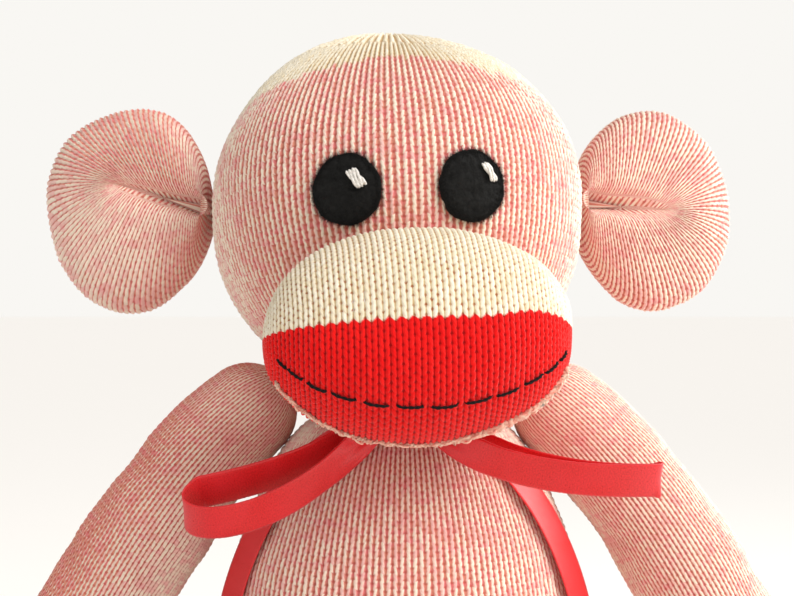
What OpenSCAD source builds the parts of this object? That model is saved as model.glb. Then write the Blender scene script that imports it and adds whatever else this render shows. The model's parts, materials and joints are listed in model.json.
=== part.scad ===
// Sitting sock monkey. Millimetres, +Z up, facing -Y, origin on the seat under the body's axis.
// Left and right are the toy's own: left is +X.

/* [Body] */
// Widest diameter of the belly
belly_d = 106; // [96:1:116]
// Height of the widest part of the belly above the seat
belly_z = 60; // [52:1:68]
// Diameter of the flat face that the toy sits on
seat_d = 72; // [60:1:80]
// Height of the gathered neck above the seat
neck_z = 168; // [158:1:190]
// Diameter of the body and of the head where they are gathered at the neck
neck_d = 32; // [30:1:36]
// Fullness of the shoulders: 2 is an ellipse, more is squarer
shoulder_fullness = 2.2; // [2:0.1:2.6]

/* [Head] */
// Widest diameter of the head
head_d = 106; // [98:1:114]
// Height of the crown above the neck
head_h = 102; // [94:1:110]
// Height of the widest part of the head above the neck
cheek_z = 54; // [48:1:58]
// How far the head leans back, in degrees
head_lean = 8; // [0:1:10]
// How far the head is turned to its left, in degrees
head_turn = 4; // [0:1:8]
// How far the head tips to its right, in degrees
head_tip = 2; // [0:1:4]

/* [Muzzle] */
// Width of the muzzle
muzzle_w = 81; // [72:1:88]
// Height of the muzzle
muzzle_h = 57; // [50:1:60]
// Distance from the head's axis to the middle of the muzzle
muzzle_reach = 57; // [55:1:62]
// Height of the middle of the muzzle above the neck
muzzle_z = 8.5; // [6:0.5:14]
// Number of stitches in the smile
smile_count = 12; // [8:1:16]
// Width of the smile, measured straight across
smile_w = 71; // [60:1:74]

/* [Eyes] */
// Diameter of a felt eye
eye_d = 18.6; // [14:0.2:22]
// Thickness of the felt
felt_t = 2; // [1:0.5:3]
// Gap between the muzzle's top and the eyes
eye_gap = 2.2; // [0.5:0.1:8]
// Angle of each eye from the middle of the face, seen from above
eye_angle = 18; // [14:1:24]

/* [Ears] */
// Width of an ear, from its fold outwards
ear_w = 50; // [40:1:56]
// Height of an ear
ear_h = 60; // [48:1:64]
// Thickness of a stuffed ear
ear_t = 22; // [16:1:26]
// Height of the middle of the left ear above the neck
ear_z = 52.5; // [44:0.5:56]
// How much higher on the head the right ear is sewn
ear_step = 5; // [0:0.5:6]
// How far behind the widest line of the head the ears are sewn, in degrees
ear_back = 11; // [4:1:20]

/* [Arms] */
// Length of an arm along its curve
arm_len = 172; // [140:1:178]
// Diameter of an arm at the shoulder
arm_root_d = 24; // [22:1:26]
// Diameter of an arm at the hand
arm_hand_d = 36; // [28:1:38]
// Slope of an arm where it leaves the shoulder, in degrees below level
arm_slope = 38; // [34:1:44]
// Slope of an arm at the hand, in degrees below level
arm_hand_slope = 77; // [70:1:84]
// Height of the shoulders above the seat
shoulder_z = 153; // [146:1:156]

/* [Legs] */
// Length of a leg from the hip
leg_len = 186; // [150:1:200]
// Diameter of a leg at the hip
leg_root_d = 40; // [36:1:42]
// Diameter of a leg at the foot
leg_foot_d = 47; // [40:1:50]
// Angle between a leg and straight ahead
leg_splay = 20; // [16:1:24]
// Direction of a hip from the body's axis, measured from straight ahead
hip_angle = 32; // [30:1:36]

/* [Tail] */
// Length of the tail along its curve
tail_len = 190; // [140:1:210]
// Diameter of the tail
tail_d = 20; // [16:1:22]

/* [Fabric and thread] */
// Thickness of the knitted skin
skin_t = 1.6; // [1:0.1:2]
// Diameter of the sewing thread
thread_d = 1.1; // [0.8:0.1:1.2]
// Width of the satin ribbon
ribbon_w = 10; // [8:0.5:11]
// Thickness of the satin ribbon
ribbon_t = 0.5; // [0.4:0.1:0.8]
// Gap between a skin and the filling inside it
filling_gap = 0.15; // [0.1:0.05:0.3]
// Gap between pieces that move past each other
play = 0.4; // [0.3:0.05:0.6]

/* [Hidden] */
NODES = concat(
    ["body_skin", "body_stuffing", "neck_gather", "neck_drawstring"],
    ["head_skin", "head_stuffing", "muzzle_skin", "muzzle_stuffing", "muzzle_stitching", "smile_stitches"],
    [for (part = ["eye_felt", "eye_glint"]) for (s = ["left_", "right_"]) str(s, part)],
    [for (part = ["ear_skin", "ear_stuffing"]) for (s = ["left_", "right_"]) str(s, part)],
    [for (part = ["arm_skin", "arm_stuffing", "arm_seam"]) for (s = ["left_", "right_"]) str(s, part)],
    [for (part = ["leg_skin", "leg_stuffing", "leg_seam"]) for (s = ["left_", "right_"]) str(s, part)],
    ["tail_skin", "tail_stuffing", "tail_seam", "ribbon_band", "ribbon_knot"],
    [for (part = ["ribbon_loop", "ribbon_tail"]) for (s = ["left_", "right_"]) str(s, part)]
);
node = "all";

MARL = [0.87, 0.62, 0.58];
CREAM = [0.93, 0.88, 0.78];
HEEL_RED = [0.88, 0.15, 0.15];
SATIN_RED = [0.85, 0.12, 0.14];
FELT_BLACK = [0.06, 0.06, 0.06];
THREAD_BLACK = [0.08, 0.07, 0.07];
WOOL_WHITE = [0.95, 0.94, 0.9];

belly_r = belly_d / 2;
seat_r = seat_d / 2;
neck_r = neck_d / 2;
head_r = head_d / 2;
neck_ball_r = neck_r - 3;
body_drop = 5;
head_lift = 8;
body_top = neck_z - body_drop;
// Fullness of the body below the belly.
belly_fullness = 2.2;
outline_steps = 14;
limb_sides = 18;
arm_seam_r = 2.5;
leg_seam_r = 13;
tail_seam_r = 5;

// Superellipse quarter between two corners: n points from [r1, z0] to [r0, z1].
function quarter(r0, r1, z0, z1, p, n) = [
    for (i = [0:n]) let (a = 90 * i / n)
        [r0 + (r1 - r0) * pow(cos(a), 2 / p), z0 + (z1 - z0) * pow(sin(a), 2 / p)]
];
function flip(list) = [for (i = [len(list) - 1:-1:0]) list[i]];

// Radius of the body's skin at a height, above and below the belly.
function body_r(z) = z > belly_z
    ? neck_r + (belly_r - neck_r)
        * pow(1 - pow((z - belly_z) / (body_top - belly_z), shoulder_fullness), 1 / shoulder_fullness)
    : seat_r + (belly_r - seat_r) * pow(1 - pow((belly_z - z) / belly_z, belly_fullness), 1 / belly_fullness);

function body_outline(inset) = concat(
    [[0, inset]],
    flip(quarter(seat_r - inset, belly_r - inset, belly_z, inset, belly_fullness, outline_steps)),
    quarter(neck_r - inset, belly_r - inset, belly_z, body_top - inset, shoulder_fullness, outline_steps),
    [[0, body_top - inset]]
);
function head_outline(inset) = concat(
    [[0, head_lift + inset]],
    flip(quarter(neck_r - inset, head_r - inset, cheek_z, head_lift + inset, 2, outline_steps)),
    quarter(0, head_r - inset, cheek_z, head_h - inset, 2, outline_steps)
);
// Radius of the head's skin at a height above the neck.
function head_r_at(z) = z > cheek_z
    ? head_r * sqrt(1 - pow((z - cheek_z) / (head_h - cheek_z), 2))
    : neck_r + (head_r - neck_r) * sqrt(1 - pow((cheek_z - z) / (cheek_z - head_lift), 2));

module revolve(outline) {
    rotate_extrude($fn = 96) polygon(outline);
}
module ring(r, d) {
    rotate_extrude($fn = 64) translate([r, 0]) circle(d = d, $fn = 24);
}
// A stitch: a straight run of thread with round ends, from a to b.
module stitch(a, b, d) {
    run = b - a;
    length = norm(run);
    translate(a) rotate([0, acos(run[2] / length), atan2(run[1], run[0])]) {
        cylinder(h = length, d = d, $fn = 24);
        sphere(d = d, $fn = 24);
        translate([0, 0, length]) sphere(d = d, $fn = 24);
    }
}
module on_side(side) {
    if (side > 0) children();
    else mirror([1, 0, 0]) children();
}

// ---- Limbs: a tube of circles along a curve in the XZ plane, with a round dome at each end ----

// Sum of steps along a list of slopes: the centre line's points.
function walk(slopes, step, i = 0, at = [0, 0]) = i == len(slopes)
    ? [at]
    : concat([at], walk(slopes, step, i + 1, at + step * [cos(slopes[i]), -sin(slopes[i])]));
// One circle of the tube: centre [x, z], slope and radius.
function circle_points(at, slope, r) = [
    for (k = [0:limb_sides - 1]) let (a = 360 * k / limb_sides)
        [at[0] + r * cos(a) * sin(slope), r * sin(a), at[1] + r * cos(a) * cos(slope)]
];
function limb_rings(line, slopes, radii, inset) = let (last = len(line) - 1) concat(
    [for (a = [75:-25:25]) let (r = radii[0] - inset, d = [cos(slopes[0]), -sin(slopes[0])])
        circle_points(line[0] - r * sin(a) * d, slopes[0], r * cos(a))],
    [for (i = [0:last]) circle_points(line[i], slopes[min(i, last - 1)], radii[i] - inset)],
    [for (a = [25:25:75]) let (r = radii[last] - inset, d = [cos(slopes[last - 1]), -sin(slopes[last - 1])])
        circle_points(line[last] + r * sin(a) * d, slopes[last - 1], r * cos(a))]
);
module tube(rings) {
    n = len(rings);
    points = [for (r = rings) each r];
    sides = [for (i = [0:n - 2]) for (k = [0:limb_sides - 1]) let (next = (k + 1) % limb_sides)
        [i * limb_sides + k, i * limb_sides + next, (i + 1) * limb_sides + next, (i + 1) * limb_sides + k]];
    start = [[for (k = [limb_sides - 1:-1:0]) k]];
    end = [[for (k = [0:limb_sides - 1]) (n - 1) * limb_sides + k]];
    polyhedron(points = points, faces = concat(start, sides, end), convexity = 6);
}
module limb(slopes, step, radii, inset) {
    tube(limb_rings(walk(slopes, step), slopes, radii, inset));
}

// ---- Where things are ----

// A limb ends in a dome, and its ring of stitches lies in the round gap between dome and body.
seam_gap = thread_d + 2 * play;
// The body's outward normal at a height, in degrees above level.
function body_tilt(z) = atan2(body_r(z - 1) - body_r(z + 1), 2);
// The point [out, up] at a distance off the body's skin.
function off_body(z, d) = [body_r(z), z] + d * [cos(body_tilt(z)), sin(body_tilt(z))];

arm_root_r = arm_root_d / 2;
shoulder_at = off_body(shoulder_z, arm_root_r + seam_gap);
arm_steps = 10;
arm_step = (arm_len - arm_hand_d / 2) / arm_steps;
arm_forward = 6;
arm_slopes = [for (i = [0:arm_steps - 1])
    arm_slope + (arm_hand_slope - arm_slope) * pow((i + 0.5) / arm_steps, 0.6)];
arm_radii = [for (i = [0:arm_steps])
    arm_root_r + (arm_hand_d - arm_root_d) / 2 * pow(i / arm_steps, 0.6)];

leg_root_r = leg_root_d / 2;
leg_z = leg_foot_d / 2 + 1;
hip_socket_r = leg_root_r + seam_gap;
hip_out = 9;
hip_at = (body_r(leg_z) + hip_out) * [sin(hip_angle), -cos(hip_angle)];
leg_steps = 8;
leg_step = (leg_len - leg_foot_d / 2) / leg_steps;
leg_radii = [for (i = [0:leg_steps])
    leg_root_r + (leg_foot_d - leg_root_d) / 2 * (i < 1 ? 0 : pow(i / leg_steps, 0.7))];

tail_r = tail_d / 2;
tail_lift = 4;
tail_root_z = tail_r + tail_lift;
tail_at = off_body(tail_root_z, tail_r + seam_gap);
tail_steps = 14;
tail_step = (tail_len - tail_r) / tail_steps;
tail_curl = 250;
tail_slopes = [for (i = [0:tail_steps - 1]) -tail_curl * pow(i / tail_steps, 1.5)];
tail_radii = [for (i = [0:tail_steps]) tail_r];

module in_head() {
    translate([0, 0, neck_z]) rotate([-head_lean, -head_tip, head_turn]) children();
}
module at_shoulder() {
    translate([shoulder_at[0], 0, shoulder_at[1]]) children();
}
module at_hip() {
    translate([hip_at[0], hip_at[1], leg_z]) children();
}

// ---- Body and neck ----

module body_solid(inset) {
    difference() {
        revolve(body_outline(inset));
        translate([0, 0, neck_z]) sphere(r = neck_ball_r + play + inset, $fn = 64);
        for (s = [-1, 1]) on_side(s) at_hip() sphere(r = hip_socket_r + inset, $fn = 64);
    }
}
module body_skin() {
    color(MARL) difference() {
        body_solid(0);
        body_solid(skin_t);
    }
}
module body_stuffing() {
    color(WOOL_WHITE) body_solid(skin_t + filling_gap);
}
module neck_gather() {
    color(MARL) translate([0, 0, neck_z]) sphere(r = neck_ball_r, $fn = 64);
}
module neck_drawstring() {
    color(WOOL_WHITE) translate([0, 0, neck_z]) ring(neck_ball_r + play + thread_d / 2, thread_d);
}

// ---- Head ----

module head_solid(inset) {
    difference() {
        revolve(head_outline(inset));
        sphere(r = neck_ball_r + play + inset, $fn = 64);
    }
}
module head_skin() {
    color(MARL) in_head() difference() {
        head_solid(0);
        head_solid(skin_t);
    }
}
module head_stuffing() {
    color(WOOL_WHITE) in_head() head_solid(skin_t + filling_gap);
}

// ---- Muzzle: a bulge turned about a left-to-right axis, cut to the face ----

muzzle_fullness = 2.2;
eye_z = muzzle_z + (muzzle_h + eye_d) / 2 + eye_gap;
module muzzle_bulge(inset) {
    half = muzzle_w / 2 - inset;
    arc = quarter(0, muzzle_h / 2 - inset, 0, half, muzzle_fullness, outline_steps);
    outline = concat([for (p = flip(arc)) [p[0], -p[1]]], [for (i = [1:outline_steps]) arc[i]]);
    translate([0, -muzzle_reach, muzzle_z]) rotate([0, 90, 0]) revolve(outline);
}
// The head's outer shape, larger all round by a gap.
module face_cutter(gap) {
    revolve(head_outline(-gap));
}
module muzzle_solid(inset) {
    difference() {
        muzzle_bulge(inset);
        face_cutter(filling_gap + inset);
    }
}
module muzzle_skin() {
    color(HEEL_RED) in_head() difference() {
        muzzle_solid(0);
        muzzle_solid(skin_t);
    }
}
module muzzle_stuffing() {
    color(WOOL_WHITE) in_head() muzzle_solid(skin_t + filling_gap);
}

// A point of the muzzle's surface: x across, angle down from straight ahead, lifted off the skin.
function muzzle_r_at(x) = muzzle_h / 2
    * pow(1 - pow(abs(x) / (muzzle_w / 2), muzzle_fullness), 1 / muzzle_fullness);
function on_muzzle(x, down, lift) = [
    x,
    -muzzle_reach - (muzzle_r_at(x) + lift) * cos(down),
    muzzle_z - (muzzle_r_at(x) + lift) * sin(down)
];
// Gap under a stitch, for its straight run over a round face.
thread_lift = 0.3;
// Share of each stitch that is left open before the next one.
smile_gap = 0.22;
// Angles below straight ahead of the middle and of the ends of the smile.
smile_low = 45;
smile_high = 27;
// Stitches shorten towards the ends of the smile: the angle that the half smile covers on its circle.
smile_bend = 80;
function smile_at(t) = let (x = smile_w / 2 * sin(t * smile_bend) / sin(smile_bend))
    on_muzzle(x, smile_low - (smile_low - smile_high) * pow(abs(t), 2), thread_d / 2 + thread_lift);
module smile_stitches() {
    color(THREAD_BLACK) in_head() for (i = [0:smile_count - 1]) {
        from = -1 + 2 * (i + smile_gap / 2) / smile_count;
        to = -1 + 2 * (i + 1 - smile_gap / 2) / smile_count;
        stitch(smile_at(from), smile_at(to), thread_d);
    }
}

// The stitching follows the muzzle's lower rim, where it is sewn to the face.
rim_count = 22;
rim_inset = 5;
rim_down_side = 62;
rim_down_middle = 82;
rim_start = 4;
rim_gap = 0.3;
function rim_angle(i) = rim_start + (180 - 2 * rim_start) * i / rim_count;
function rim_at(a) = let (down = rim_down_side + (rim_down_middle - rim_down_side) * sin(a))
    on_muzzle((muzzle_w / 2 - rim_inset) * cos(a), down, thread_d / 2 + thread_lift);
module muzzle_stitching() {
    color(CREAM) in_head() for (i = [0:rim_count - 1]) {
        stitch(rim_at(rim_angle(i + rim_gap / 2)), rim_at(rim_angle(i + 1 - rim_gap / 2)), thread_d);
    }
}

// ---- Eyes ----

module at_eye(side) {
    rotate([0, 0, side * eye_angle]) translate([0, 0, eye_z]) rotate([90, 0, 0]) children();
}
// A felt disc bent to the face: the part of a round plug that lies just outside the head.
module eye_felt(side) {
    color(FELT_BLACK) in_head() intersection() {
        at_eye(side) cylinder(h = head_r + 10, d = eye_d, $fn = 64);
        difference() {
            face_cutter(filling_gap + felt_t);
            face_cutter(filling_gap);
        }
    }
}
// A glint is a few slanted stitches, up and to one side of the middle of the eye.
glint_len = 5;
glint_rise = 2.8;
glint_off = 2.6;
glint_gap = 0.1;
module eye_glint(side, count) {
    color(WOOL_WHITE) in_head() at_eye(side)
        translate([glint_off, glint_off, head_r_at(eye_z) + felt_t + thread_d / 2 + 2 * thread_lift])
            for (i = [0:count - 1]) {
                middle = (i - (count - 1) / 2) * (thread_d + glint_gap);
                end = [glint_len / 2, middle - glint_rise / 2, 0];
                stitch([-glint_len / 2, middle + glint_rise / 2, 0], end, thread_d);
            }
}

// ---- Ears ----

// The ear's fold is a small round edge that the ear can turn about.
ear_fold_r = pow(ear_t / 2, 2) / (ear_w / 2);
function ear_z_at(side) = side > 0 ? ear_z : ear_z + ear_step;
// Widest reach of the head against the ear's curved inner edge.
function ear_rest(z) = max([for (d = [-20:1:20])
    head_r_at(z + d) - ear_w / 2 * (1 - sqrt(1 - pow(2 * d / ear_h, 2)))]);
function ear_out(side) = ear_rest(ear_z_at(side)) + ear_fold_r + play;
module ear_solid(side, inset) {
    in_head() on_side(side) rotate([0, 0, ear_back])
        translate([ear_out(side) + ear_w / 2 - ear_fold_r, 0, ear_z_at(side)])
        scale([ear_w / 2 - inset, ear_t / 2 - inset, ear_h / 2 - inset]) sphere(r = 1, $fn = 64);
}
module ear_skin(side) {
    color(MARL) difference() {
        ear_solid(side, 0);
        ear_solid(side, skin_t);
    }
}
module ear_stuffing(side) {
    color(WOOL_WHITE) ear_solid(side, skin_t + filling_gap);
}

// ---- Arms ----

module arm_solid(inset) {
    at_shoulder() rotate([0, 0, -arm_forward]) limb(arm_slopes, arm_step, arm_radii, inset);
}
module arm_skin(side) {
    color(MARL) on_side(side) difference() {
        arm_solid(0);
        arm_solid(skin_t);
    }
}
module arm_stuffing(side) {
    color(WOOL_WHITE) on_side(side) arm_solid(skin_t + filling_gap);
}
// A ring of stitches round the root of a limb, on the sphere half way across the gap.
module seam_ring(ring_r, root_r) {
    shell_r = root_r + seam_gap / 2;
    color(WOOL_WHITE) translate([0, 0, -sqrt(pow(shell_r, 2) - pow(ring_r, 2))]) ring(ring_r, thread_d);
}
// An arm meets the body with its side, so its ring is flat and small, half way across the gap.
module arm_seam(side) {
    color(WOOL_WHITE) on_side(side) at_shoulder() rotate([0, 90 - body_tilt(shoulder_z), 0])
        translate([0, 0, -arm_root_r - seam_gap / 2]) ring(arm_seam_r, thread_d);
}

// ---- Legs ----

module leg_solid(inset) {
    at_hip() rotate([0, 0, -90 + leg_splay]) limb([for (i = [1:leg_steps]) 0], leg_step, leg_radii, inset);
}
module leg_skin(side) {
    color(MARL) on_side(side) difference() {
        leg_solid(0);
        leg_solid(skin_t);
    }
}
module leg_stuffing(side) {
    color(WOOL_WHITE) on_side(side) leg_solid(skin_t + filling_gap);
}
module leg_seam(side) {
    on_side(side) at_hip() rotate([90, 0, hip_angle]) seam_ring(leg_seam_r, leg_root_r);
}

// ---- Tail: it lies on its side behind the body and curls to the left ----

module at_tail() {
    translate([0, tail_at[0], tail_at[1]]) children();
}
module tail_solid(inset) {
    at_tail() rotate([90, 0, 90]) limb(tail_slopes, tail_step, tail_radii, inset);
}
module tail_skin() {
    color(MARL) difference() {
        tail_solid(0);
        tail_solid(skin_t);
    }
}
module tail_stuffing() {
    color(WOOL_WHITE) tail_solid(skin_t + filling_gap);
}
module tail_seam() {
    at_tail() rotate([body_tilt(tail_root_z) - 90, 0, 0]) seam_ring(tail_seam_r, tail_r);
}

// ---- Ribbon: one strip on the real toy, here cut into what each stretch does ----

function bezier(p, t) = len(p) == 1
    ? p[0]
    : bezier([for (i = [0:len(p) - 2]) p[i] * (1 - t) + p[i + 1] * t], t);
function unit(v) = v / norm(v);
// A strip along a path. It leaves the knot narrow and flat to the body, then widens and turns.
gather_width = 0.35;
gather_step = 0.13;
gather_across = [0.8, 0.42, 0.42];
gather_turn = 6;
module strip(path, across, both_ends) {
    last = len(path) - 1;
    points = [for (i = [0:last])
        let (from_knot = both_ends ? min(i, last - i) : i,
            turned = min(from_knot / gather_turn, 1),
            wide = unit(gather_across * (1 - turned) + across * turned),
            half = wide * ribbon_w / 2 * min(1, gather_width + from_knot * gather_step),
            along = path[min(i + 1, last)] - path[max(i - 1, 0)],
            face = unit(cross(along, wide)) * ribbon_t / 2)
        each [path[i] + half + face, path[i] + half - face, path[i] - half - face, path[i] - half + face]];
    sides = [for (i = [0:last - 1]) for (k = [0:3]) let (next = (k + 1) % 4, at = i * 4)
        each [[at + k, at + next, at + 4 + next], [at + k, at + 4 + next, at + 4 + k]]];
    polyhedron(points = points, faces = concat([[3, 2, 1, 0]], sides, [[for (k = [0:3]) last * 4 + k]]),
        convexity = 4);
}
band_r = neck_ball_r + 2 * play + thread_d;
band_h = 5;
band_drop = 4.4;
band_z = neck_z - band_drop;
// Size of the knot, its drop below the neck, and the directions that the loops' and tails' widths lie along.
knot_size = [11, 8, 8];
knot_drop = 1;
loop_across = [0, -0.5, 0.87];
tail_across = [0.55, 0.8, 0.15];
knot_at = [0, -band_r - 2 * ribbon_t - knot_size[1] / 2 - filling_gap, neck_z - knot_drop];
// A point round the body: direction from straight ahead, height above the seat, distance off the skin.
function round_body(a, z, off) = [(body_r(z) + off) * sin(a), -(body_r(z) + off) * cos(a), z];
// Control points of each stretch, for the toy's left side. The loops pass below the chin.
chin_z = neck_z + muzzle_z - muzzle_h / 2;
loop_start = knot_at + [4.5, -4.5, -1];
loop_finish = knot_at + [2.8, -7, -1];
loop_tip = round_body(54, chin_z - 1.5, 41);
loop_out = [loop_start, round_body(25, chin_z + 4, 5.5), round_body(41, chin_z - 2, 20), loop_tip];
loop_back = [loop_tip, round_body(57, chin_z - 1, 55), round_body(32, chin_z - 3, 29.5),
    round_body(17.5, chin_z, 10), loop_finish];
open_loop_tip = round_body(51.5, chin_z - 5, 29);
open_loop_out = [loop_start, round_body(24, chin_z + 4, 5.2), round_body(38, chin_z - 1, 18), open_loop_tip];
open_loop_back = [open_loop_tip, round_body(57, chin_z - 15, 39.5), round_body(36.5, chin_z - 20, 22),
    round_body(20.5, chin_z - 1, 10.5), loop_finish];
tail_path = [knot_at + [5, -3, -3.5], round_body(30, neck_z - 11, 8), round_body(54, neck_z - 17, 8),
    round_body(62, neck_z - 42, 5), round_body(66, neck_z - 58, 4.5), round_body(66, neck_z - 77, 4.5)];
strip_steps = 12;
function stretch(points, from, to) = [for (i = [from:to]) bezier(points, i / strip_steps)];
module ribbon_band() {
    color(SATIN_RED) translate([0, 0, band_z]) difference() {
        cylinder(h = band_h, r = band_r + 2 * ribbon_t, $fn = 96);
        translate([0, 0, -1]) cylinder(h = band_h + 2, r = band_r, $fn = 96);
    }
}
module ribbon_knot() {
    color(SATIN_RED) translate(knot_at) scale(knot_size / 2) sphere(r = 1, $fn = 48);
}
module ribbon_loop(side) {
    out = side > 0 ? loop_out : open_loop_out;
    back = side > 0 ? loop_back : open_loop_back;
    color(SATIN_RED) on_side(side)
        strip(concat(stretch(out, 0, strip_steps - 1), stretch(back, 0, strip_steps)), loop_across, true);
}
module ribbon_tail(side) {
    color(SATIN_RED) on_side(side) strip(stretch(tail_path, 0, strip_steps), tail_across, false);
}

// Each name in NODES draws its own module.
sides = [["left_", 1], ["right_", -1]];
function wanted(name) = node == "all" || node == name;
if (wanted("body_skin")) body_skin();
if (wanted("body_stuffing")) body_stuffing();
if (wanted("neck_gather")) neck_gather();
if (wanted("neck_drawstring")) neck_drawstring();
if (wanted("head_skin")) head_skin();
if (wanted("head_stuffing")) head_stuffing();
if (wanted("muzzle_skin")) muzzle_skin();
if (wanted("muzzle_stuffing")) muzzle_stuffing();
if (wanted("muzzle_stitching")) muzzle_stitching();
if (wanted("smile_stitches")) smile_stitches();
for (s = sides) {
    if (wanted(str(s[0], "eye_felt"))) eye_felt(s[1]);
    if (wanted(str(s[0], "eye_glint"))) eye_glint(s[1], s[1] > 0 ? 2 : 3);
    if (wanted(str(s[0], "ear_skin"))) ear_skin(s[1]);
    if (wanted(str(s[0], "ear_stuffing"))) ear_stuffing(s[1]);
    if (wanted(str(s[0], "arm_skin"))) arm_skin(s[1]);
    if (wanted(str(s[0], "arm_stuffing"))) arm_stuffing(s[1]);
    if (wanted(str(s[0], "arm_seam"))) arm_seam(s[1]);
    if (wanted(str(s[0], "leg_skin"))) leg_skin(s[1]);
    if (wanted(str(s[0], "leg_stuffing"))) leg_stuffing(s[1]);
    if (wanted(str(s[0], "leg_seam"))) leg_seam(s[1]);
    if (wanted(str(s[0], "ribbon_loop"))) ribbon_loop(s[1]);
    if (wanted(str(s[0], "ribbon_tail"))) ribbon_tail(s[1]);
}
if (wanted("tail_skin")) tail_skin();
if (wanted("tail_stuffing")) tail_stuffing();
if (wanted("tail_seam")) tail_seam();
if (wanted("ribbon_band")) ribbon_band();
if (wanted("ribbon_knot")) ribbon_knot();
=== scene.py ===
"""Looks of a sitting sock monkey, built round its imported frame. Shapes are worked out in millimetres, +Z up, facing -Y.

Every knitted skin is a grid of rows and columns over a smooth form. Two coordinates run with the fabric: wales count
the columns of stitches and courses the rows. The relief of the stitches is in the mesh, and the same coordinates
colour the yarn in the material.
"""

import json
import math

import bpy
import numpy as np
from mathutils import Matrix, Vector


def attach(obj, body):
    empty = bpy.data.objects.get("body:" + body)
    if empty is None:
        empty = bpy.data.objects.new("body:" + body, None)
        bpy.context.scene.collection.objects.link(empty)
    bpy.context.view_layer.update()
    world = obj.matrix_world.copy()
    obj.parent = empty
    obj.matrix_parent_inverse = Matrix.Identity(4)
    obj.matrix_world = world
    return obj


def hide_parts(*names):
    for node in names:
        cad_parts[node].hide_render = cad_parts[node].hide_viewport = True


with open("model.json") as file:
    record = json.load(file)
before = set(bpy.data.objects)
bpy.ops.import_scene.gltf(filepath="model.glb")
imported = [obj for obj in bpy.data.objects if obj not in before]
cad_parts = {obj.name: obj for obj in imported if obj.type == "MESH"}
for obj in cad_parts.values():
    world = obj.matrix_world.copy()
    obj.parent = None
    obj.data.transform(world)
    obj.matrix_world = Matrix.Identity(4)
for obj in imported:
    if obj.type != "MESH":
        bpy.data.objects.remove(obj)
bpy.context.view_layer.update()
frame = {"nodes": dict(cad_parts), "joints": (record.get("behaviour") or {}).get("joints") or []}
joints = {j["name"]: j for j in frame["joints"]}

MM = 0.001
TAU = 2 * math.pi

# ---- Sizes, in millimetres and degrees ----

HEAD_LEAN, HEAD_TURN, HEAD_TIP = 8, 4, 2
HEAD_R, HEAD_H, CHEEK_Z = 53.0, 102.0, 54.0
NECK_R = 12.5
CROWN_Z, CROWN_DIP = 88.0, 8
SOCK_WALES = 84
MUZZLE_W, MUZZLE_H, MUZZLE_REACH, MUZZLE_Z = 81.0, 57.0, 57.0, 8.5
MUZZLE_FULLNESS = 2.15
MUZZLE_WALE, MUZZLE_COURSE = 3.05, 2.5
SMILE_COUNT, SMILE_GAP, SMILE_REACH, SMILE_BEND = 12, 0.15, 36.5, 80  # more bend shortens the end stitches
SMILE_LOW, SMILE_RIGHT, SMILE_LEFT = 45.5, 27, 31  # angles below straight ahead, at the middle and the corners
EYE_D, FELT_T, EYE_Z, EYE_ANGLE = 18.6, 2.0, 48.5, 18
EYE_FIBRES = 4200
EAR_W, EAR_H, EAR_T, EAR_BACK, EAR_FOLD_R = 50.0, 60.0, 22.0, 11, 4.84
EAR_OUT = {1: 58.22, -1: 58.16}
EAR_Z = {1: 52.5, -1: 57.5}
NECK_BALL_R = 13.0
BELLY_R, BELLY_Z, SEAT_R, BODY_NECK_R, SHOULDER_DROP = 53.0, 60.0, 36.0, 16.0, 5
HEEL_Z, HEEL_H, HEEL_W, HEEL_RED = 78, 30, 0.72, 0.82  # heights along the tube, radians round it, red share
LIMB_WALES, TAIL_WALES = 42, 24
HAND_BAND, FOOT_BAND, TAIL_BAND = 36, 50, 28  # lengths of the cream ends
ARM_LEN, ARM_SLOPE, ARM_HAND_SLOPE, ARM_FORWARD = 172.0, 38, 77, 6
ARM_ROOT_R, ARM_HAND_R = 14.4, 18.0
LEG_LEN, LEG_SPLAY, LEG_ROOT_R, LEG_FOOT_R = 186.0, 20, 21.5, 23.5
TAIL_LEN, TAIL_R, TAIL_CURL = 190.0, 10.0, 250
RIBBON_W, RIBBON_T, DRAWSTRING_R, TIE_PLAY = 10.0, 0.5, 1.1, 0.4

NECK = np.array(joints["head_turns"]["pos_m"]) / MM
SHOULDER = np.array(joints["left_arm_lifts"]["pos_m"]) / MM
HIP = np.array(joints["left_leg_lifts"]["pos_m"]) / MM
TAIL_ROOT = np.array(joints["tail_lifts"]["pos_m"]) / MM


# ---- Camera, light and stage ----

def add_object(name, data):
    made = bpy.data.objects.new(name, data)
    bpy.context.scene.collection.objects.link(made)
    return made


def make_camera():
    """Level with the eyes, close enough that the muzzle looms a little."""
    data = bpy.data.cameras.new("camera")
    data.lens, data.sensor_width = 87.3, 36
    data.clip_start, data.clip_end = 0.05, 20
    camera = add_object("camera", data)
    camera.location = (-0.0022, -0.55, 0.194)
    camera.rotation_euler = (math.radians(90), 0, 0)
    bpy.context.scene.camera = camera


def area_light(name, place, aim, size, watts, colour):
    data = bpy.data.lights.new(name, "AREA")
    data.shape, data.size = "DISK", size
    data.energy, data.color = watts, colour
    lamp = add_object(name, data)
    lamp.location = place
    lamp.rotation_euler = (Vector(aim) - Vector(place)).to_track_quat("-Z", "Y").to_euler()


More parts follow.
